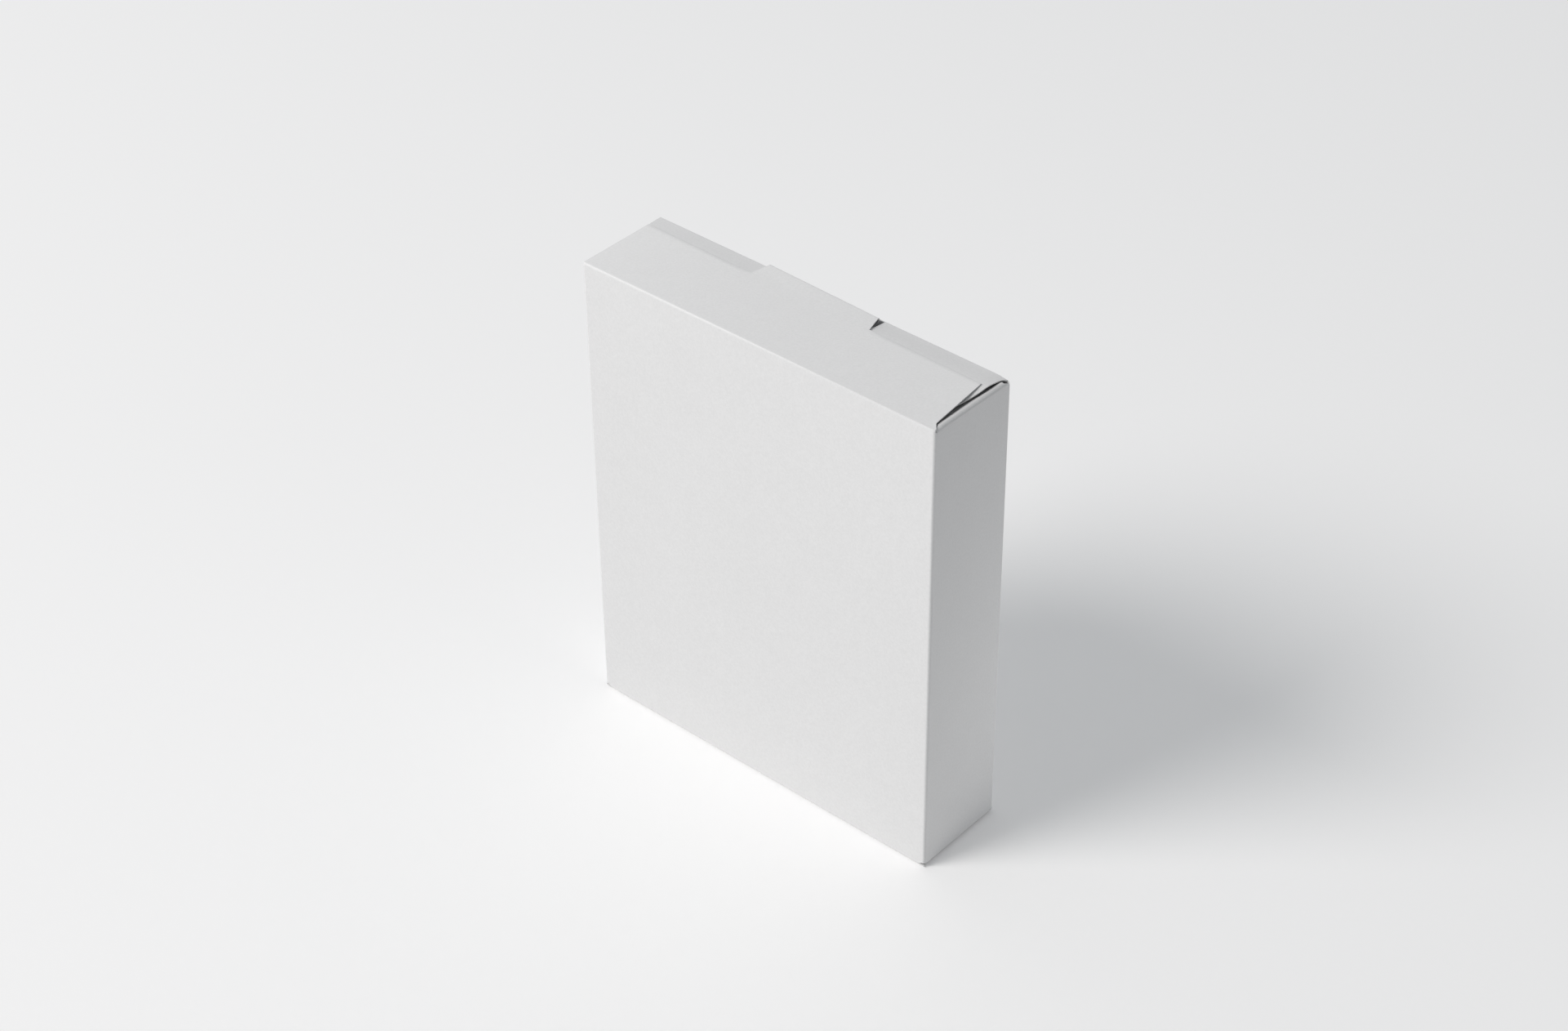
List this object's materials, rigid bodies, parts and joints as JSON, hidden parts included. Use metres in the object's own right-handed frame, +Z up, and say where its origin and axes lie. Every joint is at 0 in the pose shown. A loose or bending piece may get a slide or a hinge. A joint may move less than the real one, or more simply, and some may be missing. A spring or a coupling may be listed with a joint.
{
  "type": "board game box",
  "caption": "Blank white paperboard folding carton for a game, with a tongue-lock lid, layered top flaps and a glued base.",
  "frame": {"origin": "centre of the carton's base, on the surface it stands on", "axes": "+Z up, -Y out of the wide front face that the lid folds from, +X to the right seen from the front"},
  "size_m": [0.2, 0.051, 0.2474],
  "materials": {
    "white_board": "matte",
    "glue": "matte"
  },
  "bodies": {
    "carton": {"front_panel": "white_board", "back_panel": "white_board", "left_side_panel": "white_board", "right_side_panel": "white_board", "front_left_corner_crease": "white_board", "front_right_corner_crease": "white_board", "rear_right_corner_crease": "white_board", "seam_crease": "white_board", "seam_flap": "white_board", "seam_glue": "glue", "bottom_front_flap": "white_board", "bottom_rear_flap": "white_board", "bottom_left_dust_flap": "white_board", "bottom_right_dust_flap": "white_board", "bottom_front_flap_crease": "white_board", "bottom_rear_flap_crease": "white_board", "bottom_left_dust_flap_crease": "white_board", "bottom_right_dust_flap_crease": "white_board", "bottom_left_glue": "glue", "bottom_right_glue": "glue", "front_flap_crease": "white_board", "rear_flap_left_crease": "white_board", "rear_flap_right_crease": "white_board", "left_dust_flap_crease": "white_board", "right_dust_flap_crease": "white_board"},
    "front_flap": {"front_flap": "white_board", "tongue_crease": "white_board"},
    "tongue": {"tongue": "white_board"},
    "rear_flap": {"rear_flap": "white_board"},
    "left_dust_flap": {"left_dust_flap": "white_board"},
    "right_dust_flap": {"right_dust_flap": "white_board"}
  },
  "joints": [
    {"name": "front_flap_hinge", "type": "hinge", "parent": "carton", "child": "front_flap", "pos_m": [0, -0.02506, 0.24453], "axis": [1, 0, 0], "range_deg": [0, 175], "deforming": ["front_flap_crease"]},
    {"name": "tongue_hinge", "type": "hinge", "parent": "front_flap", "child": "tongue", "pos_m": [0, 0.02413, 0.24695], "axis": [1, 0, 0], "range_deg": [0, 40], "deforming": ["tongue_crease"]},
    {"name": "rear_flap_hinge", "type": "hinge", "parent": "carton", "child": "rear_flap", "pos_m": [0, 0.02521, 0.24454], "axis": [-1, 0, 0], "range_deg": [0, 95], "deforming": ["rear_flap_left_crease", "rear_flap_right_crease"]},
    {"name": "left_dust_flap_hinge", "type": "hinge", "parent": "carton", "child": "left_dust_flap", "pos_m": [-0.09925, 0, 0.24322], "axis": [0, -1, 0], "range_deg": [0, 120], "deforming": ["left_dust_flap_crease"]},
    {"name": "right_dust_flap_hinge", "type": "hinge", "parent": "carton", "child": "right_dust_flap", "pos_m": [0.09925, 0, 0.24382], "axis": [0, 1, 0], "range_deg": [0, 120], "deforming": ["right_dust_flap_crease"]}
  ],
  "couplings": [
    {"joint": "tongue_hinge", "follows": "front_flap_hinge", "ratio": 0.22857},
    {"joint": "rear_flap_hinge", "follows": "front_flap_hinge", "ratio": 0.54286},
    {"joint": "left_dust_flap_hinge", "follows": "front_flap_hinge", "ratio": 0.68571},
    {"joint": "right_dust_flap_hinge", "follows": "front_flap_hinge", "ratio": 0.68571}
  ]
}
